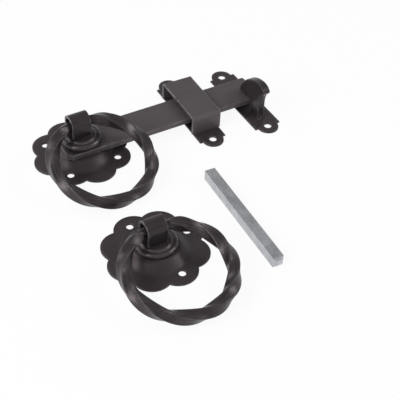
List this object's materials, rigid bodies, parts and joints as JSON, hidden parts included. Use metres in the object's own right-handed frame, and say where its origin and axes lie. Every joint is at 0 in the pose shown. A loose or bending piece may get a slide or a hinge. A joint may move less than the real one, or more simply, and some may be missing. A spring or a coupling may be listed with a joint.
{
  "type": "ring gate latch set",
  "caption": "Gate latch set with twisted ring handles on dished scalloped roses, a lifting latch bar, a bridge keep, a hooked catch and a loose square spindle, laid out as a kit.",
  "frame": {"origin": "the inner handle's turning axis at the gate face, in the plane of the backs of all plates", "axes": "+X along the latch bar towards the catch, +Y up the gate, +Z out of the gate face"},
  "size_m": [0.1923, 0.2395, 0.0348],
  "materials": {
    "black_paint": "satin black japan over pressed and forged mild steel, a little lighter where edges are rubbed",
    "zinc_plate": "bright zinc plate over drawn square steel bar, with fine drawing lines"
  },
  "bodies": {
    "plates": {"inner_rose": "black_paint", "keep_plate": "black_paint", "keep_bridge": "black_paint", "catch_plate": "black_paint", "catch_hook": "black_paint", "outer_rose": "black_paint", "spindle": "zinc_plate"},
    "latch_arm": {"inner_hub": "black_paint", "latch_bar": "black_paint", "inner_spacer": "black_paint", "inner_collar": "black_paint", "inner_eye": "black_paint"},
    "inner_ring_handle": {"inner_ring": "black_paint"},
    "outer_arm": {"outer_hub": "black_paint", "outer_collar": "black_paint", "outer_eye": "black_paint"},
    "outer_ring_handle": {"outer_ring": "black_paint"}
  },
  "joints": [
    {"name": "latch_lift", "type": "hinge", "parent": "plates", "child": "latch_arm", "pos_m": [0, 0, 0.007], "axis": [0, 0, 1], "range_deg": [-0.8, 6.8]},
    {"name": "inner_ring_swing", "type": "hinge", "parent": "latch_arm", "child": "inner_ring_handle", "pos_m": [-0.0007, 0.0018, 0.0276], "axis": [-1, 0, 0], "range_deg": [-0.4, 215]},
    {"name": "outer_turn", "type": "hinge", "parent": "plates", "child": "outer_arm", "pos_m": [0.0015, -0.1156, 0.007], "axis": [0, 0, 1], "range_deg": [-90, 41]},
    {"name": "outer_ring_swing", "type": "hinge", "parent": "outer_arm", "child": "outer_ring_handle", "pos_m": [0.0008, -0.1138, 0.0208], "axis": [-1, 0, 0], "range_deg": [-2, 180]}
  ]
}
